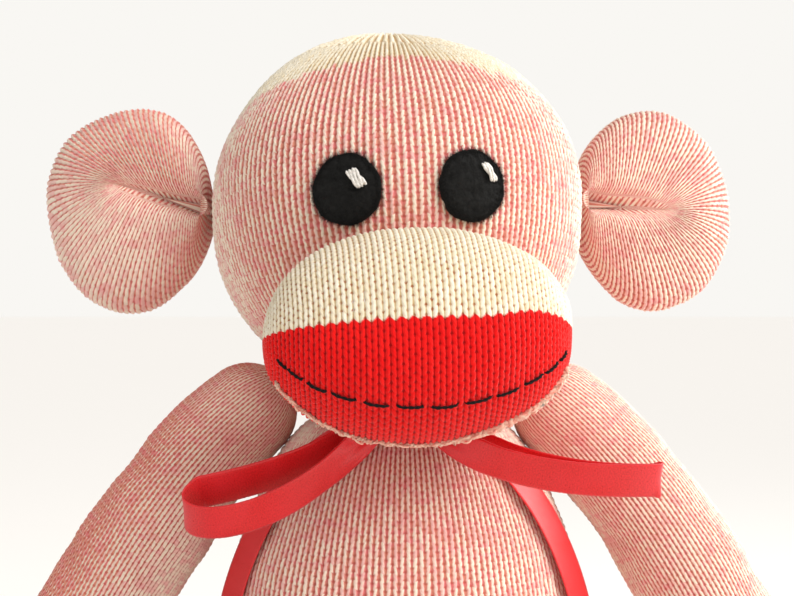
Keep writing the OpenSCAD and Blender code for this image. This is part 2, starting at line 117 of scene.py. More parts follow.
def make_light():
    """High-key studio light: a broad sun and a soft lamp from the toy's left, and a warm, pale room all round."""
    bpy.context.scene.view_settings.view_transform = "Standard"
    sun = bpy.data.lights.new("key", "SUN")
    sun.energy, sun.angle, sun.color = 2.0, math.radians(35), (1.0, 0.985, 0.96)
    lamp = add_object("key", sun)
    lamp.rotation_euler = Vector((-0.72, 0.62, -0.78)).to_track_quat("-Z", "Y").to_euler()
    head = (0, 0, 0.2)
    area_light("side", (0.95, 0.15, 0.5), head, 0.6, 7, (1.0, 0.99, 0.97))
    world = bpy.data.worlds.new("studio")
    world.use_nodes = True
    tree = world.node_tree
    room = tree.nodes["Background"]
    room.inputs["Color"].default_value = (1.0, 0.955, 0.91, 1)
    room.inputs["Strength"].default_value = 0.58
    backdrop = tree.nodes.new("ShaderNodeBackground")
    backdrop.inputs["Color"].default_value = srgb(249, 247, 243)
    seen = tree.nodes.new("ShaderNodeLightPath")
    choose = tree.nodes.new("ShaderNodeMixShader")
    tree.links.new(seen.outputs["Is Camera Ray"], choose.inputs[0])
    tree.links.new(room.outputs[0], choose.inputs[1])
    tree.links.new(backdrop.outputs[0], choose.inputs[2])
    tree.links.new(choose.outputs[0], tree.nodes["World Output"].inputs[0])
    bpy.context.scene.world = world


def make_stage():
    bpy.ops.mesh.primitive_plane_add(size=60, location=(0, 0, -0.0005))
    floor = bpy.context.object
    floor.name = "floor"
    material = bpy.data.materials.new("pale_floor")
    material.use_nodes = True
    shader = material.node_tree.nodes["Principled BSDF"]
    shader.inputs["Base Color"].default_value = (0.97, 0.965, 0.95, 1)
    shader.inputs["Roughness"].default_value = 0.9
    shader.inputs["Specular IOR Level"].default_value = 0.1
    floor.data.materials.append(material)


# ---- Small tools ----

def srgb(red, green, blue):
    """A colour given as 0-255 screen values, as the linear values that a shader takes."""
    return tuple(
        c / 12.92 if c <= 0.04045 else ((c + 0.055) / 1.055) ** 2.4
        for c in (red / 255, green / 255, blue / 255)
    ) + (1.0,)


def turn(axis, degrees):
    """A rotation matrix about X, Y or Z."""
    c, s = math.cos(math.radians(degrees)), math.sin(math.radians(degrees))
    i, j = {"X": (1, 2), "Y": (2, 0), "Z": (0, 1)}[axis]
    m = np.eye(3)
    m[i, i] = m[j, j] = c
    m[i, j], m[j, i] = -s, s
    return m


HEAD_ROTATION = turn("Z", HEAD_TURN) @ turn("Y", -HEAD_TIP) @ turn("X", -HEAD_LEAN)


def to_head(points):
    """From the head's own upright frame, with its origin in the neck, to the row frame."""
    return points @ HEAD_ROTATION.T + NECK


def wander(points, size, seed, waves=24):
    """A smooth random field over space, about -1 to 1, whose lumps are about size across."""
    rng = np.random.default_rng(seed)
    directions = unit(rng.normal(size=(waves, 3)))
    directions *= TAU / (2 * size) * rng.uniform(0.6, 1.4, (waves, 1))
    phases = rng.uniform(0, TAU, waves)
    total = np.zeros(points.shape[:-1])
    for direction, phase in zip(directions, phases):
        total += np.cos(points @ direction + phase)
    return total * math.sqrt(2 / waves) * 0.6


def scatter(a, b, seed):
    """A random number from 0 to 1 for each pair of whole numbers."""
    mixed = (a.astype(np.int64) * 73856093) ^ (b.astype(np.int64) * 19349663) ^ (seed * 83492791)
    mixed = (mixed ^ (mixed >> 13)) * 1274126177
    return ((mixed ^ (mixed >> 16)) & 0xFFFF) / 65535.0


def smooth(x, low, high):
    """0 below low, 1 above high, and an easy curve between. It falls when high is the lower of the two."""
    t = np.clip((x - low) / (high - low), 0, 1)
    return t * t * (3 - 2 * t)


def unit(vectors):
    return vectors / np.maximum(np.linalg.norm(vectors, axis=-1, keepdims=True), 1e-9)


def distances(line):
    """How far along a line each of its points is."""
    return np.concatenate([[0], np.cumsum(np.linalg.norm(np.diff(line, axis=0), axis=1))])


def resample(line, count):
    """The same line with count points, evenly spaced along it, and its length."""
    run = distances(line)
    at = np.linspace(0, run[-1], count)
    return np.stack([np.interp(at, run, line[:, k]) for k in range(line.shape[1])], axis=1), run[-1]


# ---- Knitting ----

SLANT = 0.5  # how far a stitch's leg falls, in courses, from the wale's edge to its middle
LEAN = 0.26  # how far a leg leans across its column, from its foot to its head
FABRIC_MIDDLE = 0.6  # the height, from 0 in the pits to 1 on the yarn, that lies on the plain form
COLUMNS_PER_WALE, ROWS_PER_COURSE = 8, 4
SOCK_COURSE = 2.05
NECK_PLEATS = 15


def stitch_parts(wales, courses):
    """For each point: the leg and row of its stitch, how far in from the wale's edge it is and how far up the leg."""
    leg = np.floor(wales * 2)
    across = wales * 2 - leg
    inward = np.where(leg % 2 == 0, across, 1 - across)
    height = courses + SLANT * inward
    row = np.floor(height)
    return leg, row, inward, height - row


def legs_and_rows(wales, courses):
    """The leg and row of the stitch at each point of a grid, whose last column repeats the first."""
    return stitch_parts(wales[:, :-1], courses[:, :-1])[:2]


def stitch_relief(wales, courses, fat, seed):
    """Height of plain knitting off the fabric's middle. fat is 0 for stretched yarn and 1 for full yarn."""
    leg, row, inward, along = stitch_parts(wales[:, :-1], courses[:, :-1])
    lean = inward + LEAN * (along - 0.5) * np.sin(np.pi * inward)
    bulge = np.sin(np.pi * np.clip(along, 0.001, 0.999)) ** 0.8
    rib = np.sin(np.pi * np.clip(lean, 0.001, 0.999)) ** (1.5 - 0.9 * fat + 0.9 * (1 - bulge))
    plump = 0.86 + 0.28 * scatter(leg, row, seed)
    return rib * (0.78 - 0.12 * fat + (0.22 + 0.12 * fat) * bulge) * plump - FABRIC_MIDDLE


def surface_normals(points):
    """Normals of a grid of points whose columns close into a ring."""
    around = np.roll(points, -1, axis=1) - np.roll(points, 1, axis=1)
    along = np.gradient(points, axis=0)
    return unit(np.cross(around, along))


def face_mesh(name, coords, quads, triangles):
    """A mesh of four-sided faces and then three-sided ones, from points in millimetres."""
    mesh = bpy.data.meshes.new(name)
    mesh.vertices.add(len(coords))
    mesh.vertices.foreach_set("co", (coords * MM).astype(np.float32).ravel())
    corners = np.concatenate([quads.ravel(), triangles.ravel()])
    starts = np.concatenate([np.arange(len(quads)) * 4, len(quads) * 4 + np.arange(len(triangles)) * 3])
    mesh.loops.add(len(corners))
    mesh.loops.foreach_set("vertex_index", corners.astype(np.int32))
    mesh.polygons.add(len(starts))
    mesh.polygons.foreach_set("loop_start", starts.astype(np.int32))
    return mesh


def knit_mesh(name, points, wales, courses, zone):
    """A closed skin from a grid whose columns close into a ring and whose first and last rows are drawn together."""
    rows, cols = points.shape[:2]
    ends = np.stack([points[0].mean(0), points[-1].mean(0)])
    coords = np.concatenate([points.reshape(-1, 3), ends])
    i, j = np.meshgrid(np.arange(rows - 1), np.arange(cols), indexing="ij")
    k = (j + 1) % cols
    quads = np.stack([i * cols + j, i * cols + k, (i + 1) * cols + k, (i + 1) * cols + j], axis=-1).reshape(-1, 4)
    ring = np.arange(cols)
    after = (ring + 1) % cols
    first, last = rows * cols, rows * cols + 1
    low = np.stack([np.full(cols, first), after, ring], axis=1)
    high = np.stack([np.full(cols, last), (rows - 1) * cols + ring, (rows - 1) * cols + after], axis=1)
    mesh = face_mesh(name, coords, quads, np.concatenate([low, high]))
    # Both maps: the closing column takes the full turn's value and not the first column's.
    full_u = np.concatenate([np.arange(cols) / cols, [1.0]])
    v = np.linspace(0.01, 0.99, rows)
    quad_u = np.stack([full_u[j], full_u[j + 1], full_u[j + 1], full_u[j]], axis=-1).reshape(-1)
    quad_v = np.stack([v[i], v[i], v[i + 1], v[i + 1]], axis=-1).reshape(-1)
    middle = (full_u[:-1] + full_u[1:]) / 2
    low_u = np.stack([middle, full_u[1:], full_u[:-1]], axis=1).ravel()
    low_v = np.tile([0.0, v[0], v[0]], cols)
    high_u = np.stack([middle, full_u[:-1], full_u[1:]], axis=1).ravel()
    high_v = np.tile([1.0, v[-1], v[-1]], cols)
    bake = np.stack([np.concatenate([quad_u, low_u, high_u]), np.concatenate([quad_v, low_v, high_v])], axis=1)
    quad_w, quad_c = (np.stack([g[i, j], g[i, j + 1], g[i + 1, j + 1], g[i + 1, j]], axis=-1).reshape(-1)
                      for g in (wales, courses))
    low_w = np.stack([wales[0, :-1], wales[0, 1:], wales[0, :-1]], axis=1).ravel()
    low_c = np.repeat(courses[0, :-1], 3)
    high_w = np.stack([wales[-1, :-1], wales[-1, :-1], wales[-1, 1:]], axis=1).ravel()
    high_c = np.repeat(courses[-1, :-1], 3)
    fabric = np.stack([np.concatenate([quad_w, low_w, high_w]), np.concatenate([quad_c, low_c, high_c])], axis=1)
    for map_name, values in (("OFBake", bake), ("Knit", fabric)):
        layer = mesh.uv_layers.new(name=map_name)
        layer.uv.foreach_set("vector", values.astype(np.float32).ravel())
    mesh.uv_layers.active = mesh.uv_layers["OFBake"]
    ends_zone = np.stack([zone[0].mean(0), zone[-1].mean(0)])
    colours = np.concatenate([zone.reshape(-1, 3), ends_zone])
    colours = np.concatenate([colours, np.ones((len(colours), 1))], axis=1)
    mesh.attributes.new("zone", "FLOAT_COLOR", "POINT").data.foreach_set("color", colours.astype(np.float32).ravel())
    mesh.polygons.foreach_set("use_smooth", np.ones(len(mesh.polygons), bool))
    mesh.update(calc_edges=True)
    mesh.validate()
    return add_object(name, mesh)


def paint(piece, material):
    piece.data.materials.clear()
    piece.data.materials.append(material)


def finish_piece(piece, body, material, slot, *nodes):
    """Gives a piece its material and its place on a body, and hides the CAD nodes that it stands for."""
    paint(piece, material)
    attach(piece, body)
    if nodes:
        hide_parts(*nodes)


# ---- Materials ----

class Shading:
    """A material's node tree, with short calls for the sums that a pattern needs."""

    def __init__(self, name):
        self.material = bpy.data.materials.new(name)
        self.material.use_nodes = True
        self.tree = self.material.node_tree
        self.shader = self.tree.nodes["Principled BSDF"]

    def node(self, kind, **settings):
        made = self.tree.nodes.new(kind)
        for key, value in settings.items():
            setattr(made, key, value)
        return made

    def feed(self, socket, value):
        if isinstance(value, bpy.types.NodeSocket):
            self.tree.links.new(value, socket)
        else:
            socket.default_value = value

    def math(self, operation, *values):
        made = self.node("ShaderNodeMath", operation=operation)
        for socket, value in zip(made.inputs, values):
            self.feed(socket, value)
        return made.outputs[0]

    def ease(self, value, low, high, bottom=0.0, top=1.0):
        made = self.node("ShaderNodeMapRange", interpolation_type="SMOOTHSTEP")
        for key, given in (("Value", value), ("From Min", low), ("From Max", high),
                           ("To Min", bottom), ("To Max", top)):
            self.feed(made.inputs[key], given)
        return made.outputs["Result"]

    def mix(self, amount, first, second, blend="MIX"):
        made = self.node("ShaderNodeMix", data_type="RGBA", blend_type=blend)
        self.feed(made.inputs[0], amount)
        self.feed(made.inputs[6], first)
        self.feed(made.inputs[7], second)
        return made.outputs[2]

    def combine(self, x, y, z=0.0):
        made = self.node("ShaderNodeCombineXYZ")
        for socket, value in zip(made.inputs, (x, y, z)):
            self.feed(socket, value)
        return made.outputs[0]

    def noise(self, vector, scale, detail=2.0, rough=0.5):
        made = self.node("ShaderNodeTexNoise")
        self.feed(made.inputs["Vector"], vector)
        self.feed(made.inputs["Scale"], scale)
        self.feed(made.inputs["Detail"], detail)
        self.feed(made.inputs["Roughness"], rough)
        return made.outputs["Fac"]

    def stretched(self, vector, scale):
        made = self.node("ShaderNodeMapping")
        self.feed(made.inputs["Vector"], vector)
        made.inputs["Scale"].default_value = scale
        return made.outputs[0]

    def bump(self, height, strength, distance):
        made = self.node("ShaderNodeBump")
        made.inputs["Strength"].default_value = strength
        made.inputs["Distance"].default_value = distance
        self.feed(made.inputs["Height"], height)
        self.tree.links.new(made.outputs[0], self.shader.inputs["Normal"])

    def surface(self, **values):
        for key, value in values.items():
            socket = "Base Color" if key == "base" else key.replace("_", " ").title()
            self.feed(self.shader.inputs[socket], value)


def knit_material(name):
    """Rag wool: pale ribs over hollows that are painted a darker red as shade. The zone gives cream in red, heel red
    in green and full yarn in blue.
    """
    m = Shading(name)
    uv = m.node("ShaderNodeUVMap", uv_map="Knit").outputs[0]
    split = m.node("ShaderNodeSeparateXYZ")
    m.feed(split.inputs[0], uv)
    wales, courses = split.outputs[0], split.outputs[1]
    zone = m.node("ShaderNodeAttribute", attribute_name="zone")
    zones = m.node("ShaderNodeSeparateColor")
    m.feed(zones.inputs[0], zone.outputs["Color"])
    fat = zones.outputs[2]
    legs = m.math("MULTIPLY", wales, 2.0)
    leg = m.math("FLOOR", legs)
    across = m.math("FRACT", legs)
    odd = m.math("MODULO", m.math("ABSOLUTE", leg), 2.0)
    inward = m.math("ABSOLUTE", m.math("SUBTRACT", odd, across))
    height = m.math("ADD", courses, m.math("MULTIPLY", inward, SLANT))
    row = m.math("FLOOR", height)
    along = m.math("FRACT", height)
    column = m.math("SINE", m.math("MULTIPLY", inward, math.pi))
    lean = m.math("ADD", inward, m.math("MULTIPLY", m.math("MULTIPLY", m.math("SUBTRACT", along, 0.5), LEAN), column))
    rib = m.math("SINE", m.math("MULTIPLY", lean, math.pi))
    bulge = m.math("SINE", m.math("MULTIPLY", along, math.pi))
    pick = m.node("ShaderNodeTexWhiteNoise", noise_dimensions="2D")
    m.feed(pick.inputs["Vector"], m.combine(leg, row))
    chance = m.node("ShaderNodeSeparateColor")
    m.feed(chance.inputs[0], pick.outputs["Color"])
    # Two plies wind round each other along a leg, and loose fibres cross them.
    plies = m.noise(m.combine(m.math("MULTIPLY", m.math("ADD", across, height), 2.4),
                              m.math("MULTIPLY", m.math("SUBTRACT", height, across), 1.1), leg), 1.7, 2.0, 0.6)
    fibres = m.noise(m.combine(m.math("MULTIPLY", legs, 6.0), m.math("MULTIPLY", courses, 5.0)), 3.0, 3.0, 0.65)
    drift = m.noise(m.combine(wales, courses), 0.22, 2.0, 0.5)
    dye = m.noise(m.combine(m.math("MULTIPLY", wales, 0.7), courses), 0.9, 1.0, 0.5)
    edge = m.math("ADD", rib, m.math("MULTIPLY", m.math("SUBTRACT", plies, 0.5), 0.5))
    edge = m.math("ADD", edge, m.math("MULTIPLY", m.math("SUBTRACT", chance.outputs[1], 0.5), 0.18))
    # Painted shade: this mask is high on the tops of the ribs and low where the yarn falls away into the hollows,
    # where it darkens the colour.
    lit = m.ease(m.math("ADD", edge, m.math("MULTIPLY", fat, 0.42)), 0.56, 0.92)
    # Painted shade: the pit mask darkens the sunken ends of each stitch, where shade falls between the loops.
    pit_shade = m.math("MULTIPLY", m.ease(bulge, 0.35, 0.85, 1.0, 0.0), m.ease(edge, 0.30, 0.70, 1.0, 0.0))
    pale_share = m.math("ADD", m.math("MULTIPLY", chance.outputs[0], 0.5), m.math("MULTIPLY", drift, 0.9))
    pale = m.mix(m.ease(pale_share, 0.40, 0.85), srgb(247, 196, 188), srgb(254, 238, 218))
    pale = m.mix(m.ease(dye, 0.56, 0.74, 0.0, 0.45), pale, srgb(242, 166, 166))
    # Painted shade: the hollow colour is the pink yarn darkened as it lies in shade between the ribs. The dye noise
    # still varies its hue.
    shaded_hollow = m.mix(m.ease(dye, 0.35, 0.7), srgb(220, 142, 122), srgb(226, 124, 124))
    marl = m.mix(lit, shaded_hollow, pale)
    # Painted shade: the pits of the marl darken to a deep red.
    marl = m.mix(m.math("MULTIPLY", pit_shade, 0.65), marl, srgb(186, 82, 70))
    # Painted shade: the cream yarn darkens to a tan in the hollows and to a brown in the pits.
    cream = m.mix(lit, srgb(216, 188, 142), m.mix(chance.outputs[0], srgb(244, 230, 200), srgb(254, 246, 226)))
    cream = m.mix(m.math("MULTIPLY", pit_shade, m.ease(chance.outputs[2], 0.1, 0.9, 0.35, 1.0)), cream, srgb(166, 98, 58))
    # Painted shade: the heel red darkens in the hollows and deepens almost to black-red in the pits.
    red = m.mix(lit, srgb(196, 4, 6), m.mix(chance.outputs[0], srgb(236, 8, 10), srgb(248, 22, 20)))
    red = m.mix(m.math("MULTIPLY", pit_shade, 0.7), red, srgb(140, 2, 4))
    colour = m.mix(zones.outputs[0], marl, cream)
    colour = m.mix(zones.outputs[1], colour, red)
    colour = m.mix(m.ease(fibres, 0.3, 0.75, 0.0, 0.25), colour, srgb(255, 248, 238), "SOFT_LIGHT")
    m.surface(base=colour, roughness=0.92, sheen_weight=0.22, sheen_roughness=0.5)
    m.shader.inputs["Sheen Tint"].default_value = (1.0, 0.94, 0.9, 1)
    m.shader.inputs["Specular IOR Level"].default_value = 0.15
    twist = m.math("SINE", m.math("MULTIPLY", m.math("ADD", m.math("MULTIPLY", height, 2.0), across), TAU))
    m.bump(m.math("ADD", m.math("MULTIPLY", twist, 0.35), m.math("MULTIPLY", fibres, 1.2)), 0.45, 0.00025)
    return m.material


def plain_material(name, dark, light, grain, rough, bump, sheen=0.0, coat=0.0, stretch=(1, 1, 1), anisotropic=0.0):
    """A fibrous finish: colour and relief from noise in space."""
    m = Shading(name)
    where = m.node("ShaderNodeTexCoord").outputs["Object"]
    strands = m.noise(m.stretched(where, stretch), grain, 4.0, 0.65)
    m.surface(base=m.mix(m.ease(strands, 0.3, 0.7), dark, light), roughness=rough, sheen_weight=sheen,
              coat_weight=coat, anisotropic=anisotropic)
    m.bump(strands, 0.6, bump)
    return m.material


def satin_material():
    """Woven satin: fine ribs across a bright, slightly uneven face."""
    m = Shading("red_satin")
    uv = m.node("ShaderNodeUVMap", uv_map="OFBake").outputs[0]
    weave = m.noise(m.stretched(uv, (36.0, 420.0, 1.0)), 1.0, 2.0, 0.5)
    cloud = m.noise(m.stretched(uv, (1.5, 14.0, 1.0)), 1.0, 2.0, 0.5)
    colour = m.mix(m.ease(weave, 0.3, 0.7), srgb(206, 18, 24), srgb(232, 34, 38))
    colour = m.mix(m.ease(cloud, 0.35, 0.75, 0.0, 0.35), colour, srgb(238, 52, 62))
    m.surface(base=colour, roughness=m.ease(weave, 0.2, 0.8, 0.26, 0.42), sheen_weight=0.25, anisotropic=0.5)
    m.shader.inputs["Sheen Tint"].default_value = (1.0, 0.6, 0.7, 1)
    m.bump(weave, 0.3, 0.0002)
    return m.material


def filling_material():
    """Loose white polyester fibre."""
    m = Shading("polyester_fibre")
    where = m.node("ShaderNodeTexCoord").outputs["Object"]
    fluff = m.noise(where, 260.0, 5.0, 0.7)
    m.surface(base=m.mix(fluff, srgb(226, 224, 218), srgb(252, 252, 250)), roughness=0.95, sheen_weight=0.5)
    m.bump(fluff, 0.8, 0.001)
    return m.material


# ---- Forms ----

def quarter(r0, r1, z0, z1, fullness, count=60):
    """A quarter of a superellipse from [r1, z0] to [r0, z1]."""
    a = np.linspace(0, math.pi / 2, count)
    power = 2 / fullness
    return np.stack([r0 + (r1 - r0) * np.cos(a) ** power, z0 + (z1 - z0) * np.sin(a) ** power], axis=1)


def gauge(radii, wales, full_r):
    """Wales round each row: halved each time the ring has shrunk to half, as knitting is decreased."""
    halvings = np.floor(np.log2(np.maximum(full_r / np.maximum(radii, 0.1), 1.0)) + 0.15)
    return wales / 2 ** halvings


def ring_grid(outline, cols, start=0.25):
    """Points of an outline [r, z] turned about Z. The first column is at the back."""
    angles = TAU * (np.arange(cols) / cols + start)
    r, z = outline[:, :1], outline[:, 1:2]
    return np.stack([r * np.cos(angles), r * np.sin(angles), np.broadcast_to(z, (len(outline), cols))], axis=2)


def knit_grid(counts, length, cols, rows, course):
    """Wale and course coordinates of a tube: counts wales round each row, and courses along it."""
    wales = counts[:, None] * (np.arange(cols + 1) / cols)[None, :]
    courses = np.linspace(0, length / course, rows)[:, None] * np.ones((1, cols + 1))
    return wales, courses


def plain_map(points):
    """Two coordinates, from 0 to 1 round and along a grid that isn't knitted."""
    rows, cols = points.shape[:2]
    return (np.repeat((np.arange(cols + 1) / cols)[None], rows, 0),
            np.repeat(np.linspace(0, 1, rows)[:, None], cols + 1, 1))


def zones(shape, cream=0.0, red=0.0, fat=0.0):
    """The zone colours of a skin: cream, heel red and full yarn."""
    return np.stack([np.broadcast_to(np.asarray(v, float), shape) for v in (cream, red, fat)], axis=2)


def past(leg, row, border, jag=0.9):
    """1 where a stitch lies beyond a border, in courses, that steps up and down a little from leg to leg."""
    return (row + 0.5 > border + jag * (scatter(leg, row * 0, 5) - 0.5)).astype(float)


def outward(points, middle=None):
    """Normals of a closed grid, pointing out of it."""
    normals = surface_normals(points)
    centre = points.mean(axis=1, keepdims=True) if middle is None else middle
    return -normals if np.mean(np.sum(normals * (points - centre), axis=2)) < 0 else normals


def head_outline():
    """The head's [r, z] from the gathered neck over the cheeks to the crown."""
    low = quarter(NECK_R, HEAD_R, CHEEK_Z, 4.5, 2.15)[::-1]
    high = quarter(0.4, HEAD_R, CHEEK_Z, HEAD_H, 2.0)
    return np.concatenate([low, high[1:]])


def head_lumps(points):
    """Unevenness of the stuffed head, as an offset along the normal."""
    lumps = 0.1 + 0.6 * wander(points, 30, 11) + 0.2 * wander(points, 12, 12)
    # The skin is drawn in where each ear is sewn on.
    for side in (1, -1):
        root = turn("Z", side * EAR_BACK) @ np.array([side * HEAD_R, 0, 0]) + [0, 0, EAR_Z[side]]
        lumps = lumps - 1.4 * np.exp(-np.sum((points - root) ** 2, axis=-1) / 15 ** 2)
    return lumps


def head_radius(z):
    outline = head_outline()
    return np.interp(z, outline[:, 1], outline[:, 0])


def make_head(material):
    """The sock's tube, drawn in at the neck and closed by the cream toe."""
    cols, course = SOCK_WALES * COLUMNS_PER_WALE, SOCK_COURSE
    _, length = resample(head_outline(), 400)
    rows = int(length / course * (ROWS_PER_COURSE + 1))
    outline, length = resample(head_outline(), rows)
    points = ring_grid(outline, cols)
    counts = gauge(outline[:, 0], SOCK_WALES, HEAD_R)
    counts[outline[:, 1] < CHEEK_Z] = SOCK_WALES
    wales, courses = knit_grid(counts, length, cols, rows, course)
    normals = outward(points)
    fade = smooth(outline[:, 0], 2, 14)[:, None]
    relief = 0.95 * fade * stitch_relief(wales, courses, 0.0, 3)
    gathers = smooth(outline[:, 0], 30, 13)[:, None] * smooth(CHEEK_Z - outline[:, 1], 10, 30)[:, None]
    pleats = 0.9 * gathers * np.cos(NECK_PLEATS * TAU * np.arange(cols) / cols)[None, :]
    points = points + normals * (relief + head_lumps(points) + pleats)[..., None]
    leg, row = legs_and_rows(wales, courses)
    # The toe of the sock reaches lower at the temples than over the brow.
    crown = CROWN_Z - CROWN_DIP * np.sin(TAU * np.arange(cols) / cols) ** 2
    border = np.interp(crown, outline[:, 1], courses[:, 0])[None, :]
    cream = past(leg, row, border)
    piece = knit_mesh("head_knit", to_head(points), wales, courses, zones(cream.shape, cream, 0, 0.35 * cream))
    finish_piece(piece, "head", material, "pink_marl_knit", "head_skin")


def make_body(material):
    """The torso, flat where it sits and gathered at the neck, with the heel of the sock low on the back."""
    cols, course = SOCK_WALES * COLUMNS_PER_WALE, SOCK_COURSE
    line = np.concatenate([
        np.array([[0.5, 0.3], [SEAT_R - 4, 0.3]]),
        quarter(SEAT_R, BELLY_R, BELLY_Z, 0.3, 2.2)[::-1],
        quarter(BODY_NECK_R, BELLY_R, BELLY_Z, NECK[2] - SHOULDER_DROP, 2.2)[1:],
        np.array([[NECK_R, NECK[2] - 3.5]]),  # the drawn-in edge
    ])
    _, length = resample(line, 400)
    rows = int(length / course * ROWS_PER_COURSE)
    outline, length = resample(line, rows)
    points = ring_grid(outline, cols)
    counts = gauge(outline[:, 0], SOCK_WALES, BELLY_R)
    counts[outline[:, 1] > BELLY_Z] = SOCK_WALES
    wales, courses = knit_grid(counts, length, cols, rows, course)
    normals = outward(points)
    fade = smooth(outline[:, 0], 2, 12)[:, None]
    above = smooth(outline[:, 1], 4, 30)[:, None]
    relief = (0.3 + 0.55 * above) * fade * stitch_relief(wales, courses, 0.15, 7)
    shoulders = smooth(outline[:, 1], 118, 140)[:, None]
    lumps = 1.2 + 0.9 * wander(points, 40, 21) + 0.3 * wander(points, 16, 22)
    lumps = above * (1 - shoulders) * lumps - 0.4 * shoulders
    gathers = smooth(outline[:, 0], 34, 14)[:, None] * smooth(outline[:, 1], 120, 150)[:, None]
    pleats = gathers * np.cos(NECK_PLEATS * TAU * np.arange(cols) / cols)[None, :]
    points = points + normals * (relief + lumps + pleats)[..., None]
    # The heel is a red patch with a cream edge.
    leg, row = legs_and_rows(wales, courses)
    angles = (np.floor(leg / 2) + 0.5) / np.maximum(counts[:, None], 1) * TAU
    from_back = np.minimum(angles, TAU - angles) / HEEL_W
    heel = np.hypot(from_back, (row * course - HEEL_Z) / HEEL_H) + 0.06 * (scatter(leg, row * 0, 6) - 0.5)
    red = (heel < HEEL_RED).astype(float)
    cream = ((heel >= HEEL_RED) & (heel < 1.0)).astype(float)
    piece = knit_mesh("body_knit", points, wales, courses, zones(cream.shape, cream, red, 0.15))
    finish_piece(piece, "body", material, "pink_marl_knit", "body_skin")


def limb_line(slopes, length):
    """Centre line in the XZ plane from slopes below level, at even steps, with its tangents."""
    step = length / len(slopes)
    angles = np.radians(slopes)
    tangents = np.stack([np.cos(angles), np.zeros(len(slopes)), -np.sin(angles)], axis=1)
    line = np.concatenate([[np.zeros(3)], np.cumsum(tangents * step, axis=0)])
    return line, np.concatenate([tangents[:1], tangents])


def tube_grid(line, tangents, profile, cols, side):
    """Rings of a limb. profile is [distance along the line, radius]; side is the fixed direction across the bend."""
    run = distances(line)
    at = profile[:, 0]
    inside = np.clip(at, 0, run[-1])
    centre = np.stack([np.interp(inside, run, line[:, k]) for k in range(3)], axis=1)
    heading = unit(np.stack([np.interp(inside, run, tangents[:, k]) for k in range(3)], axis=1))
    centre = centre + heading * (at - inside)[:, None]
    up = np.cross(side, heading)
    angles = TAU * np.arange(cols) / cols
    cosines, sines = np.cos(angles)[None, :, None], np.sin(angles)[None, :, None]
    spoke = up[:, None, :] * cosines + side[None, None, :] * sines
    return centre[:, None, :] + spoke * profile[:, 1][:, None, None]


def limb_profile(root_r, end_r, length, growth=0.6, blunt=2.3):
    """[distance, radius] along a limb: a round root, a slowly swelling tube and a blunt end."""
    root = quarter(0.5, root_r, 0, -root_r, 2.0, 30)[::-1]
    s = np.linspace(0, length - end_r, 60)
    tube = np.stack([root_r + (end_r - root_r) * (s / s[-1]) ** growth, s], axis=1)
    end = quarter(0.5, end_r, length - end_r, length, blunt, 40)
    return np.concatenate([root, tube[1:], end[1:]])[:, ::-1]


def make_limb(body, material, place, profile, slopes, length, wale_count, course, band, seed, mirrored=False, sag=0.9):
    """A stuffed tube with a sewn seam along it and a cream end, band long. place puts it in the row frame."""
    cols = wale_count * COLUMNS_PER_WALE
    line, tangents = limb_line(slopes, length)
    _, total = resample(profile, 300)
    rows = int(total / course * ROWS_PER_COURSE)
    profile, total = resample(profile, rows)
    points = tube_grid(line, tangents, profile, cols, np.array([0.0, 1.0, 0.0]))
    counts = gauge(profile[:, 1], wale_count, profile[:, 1].max())
    wales, courses = knit_grid(counts, total, cols, rows, course)
    normals = outward(points)
    fade = smooth(profile[:, 1], 1.5, 8)[:, None]
    clear = smooth(profile[:, 0], 4, 24)[:, None]
    stitches = 0.6 * fade * (0.3 + 0.7 * clear) * stitch_relief(wales, courses, 0.35, seed)
    lumps = 0.4 + sag * wander(points, 22, seed + 50) + 0.3 * wander(points, 9, seed + 51)
    lumps = lumps * clear - 0.4 * (1 - clear)
    around = np.arange(cols) / cols
    off_seam = (around - 0.5) * TAU * profile[:, 1].max()
    seam = -1.1 * np.exp(-((off_seam / 1.6) ** 2))[None, :] * smooth(profile[:, 0], 8, 20)[:, None]
    points = place(points + normals * (stitches + lumps * fade + seam)[..., None])
    # A limb goes flat where it lies on the ground.
    points[..., 2] = np.maximum(points[..., 2], 0.05)
    if mirrored:
        points = points[:, ::-1] * np.array([-1, 1, 1])
        wales, courses = wales[:, ::-1], courses[:, ::-1]
    leg, row = legs_and_rows(wales, courses)
    cream = past(leg, row, (total - band) / course)
    piece = knit_mesh(f"{body}_knit", points, wales, courses, zones(cream.shape, cream, 0, 0.3))
    finish_piece(piece, body, material, "pink_marl_knit", f"{body}_skin")


def make_arms(material):
    share = (np.arange(40) + 0.5) / 40
    slopes = ARM_SLOPE + (ARM_HAND_SLOPE - ARM_SLOPE) * share ** 0.6
    profile = limb_profile(ARM_ROOT_R, ARM_HAND_R, ARM_LEN)
    forward = turn("Z", -ARM_FORWARD)
    for name, mirrored in (("left", False), ("right", True)):
        make_limb(f"{name}_arm", material, lambda p: p @ forward.T + SHOULDER, profile, slopes, ARM_LEN - ARM_HAND_R,
                  LIMB_WALES, 1.95, HAND_BAND, 31 + mirrored, mirrored)


def make_legs(material):
    profile = limb_profile(LEG_ROOT_R, LEG_FOOT_R, LEG_LEN, 0.7)
    outward_turn = turn("Z", -90 + LEG_SPLAY)
    for name, mirrored in (("left", False), ("right", True)):
        make_limb(f"{name}_leg", material, lambda p: p @ outward_turn.T + HIP, profile, np.zeros(30),
                  LEG_LEN - LEG_FOOT_R, LIMB_WALES, SOCK_COURSE, FOOT_BAND, 41 + mirrored, mirrored, sag=0.5)


def make_tail(material):
    slopes = np.repeat([-TAIL_CURL * (i / 14) ** 1.5 for i in range(14)], 4)
    profile = limb_profile(TAIL_R, TAIL_R, TAIL_LEN)
    lying = turn("Z", 90) @ turn("X", 90)
    make_limb("tail", material, lambda p: p @ lying.T + TAIL_ROOT, profile, slopes, TAIL_LEN - TAIL_R,
              TAIL_WALES, 2.0, TAIL_BAND, 61, sag=0.3)


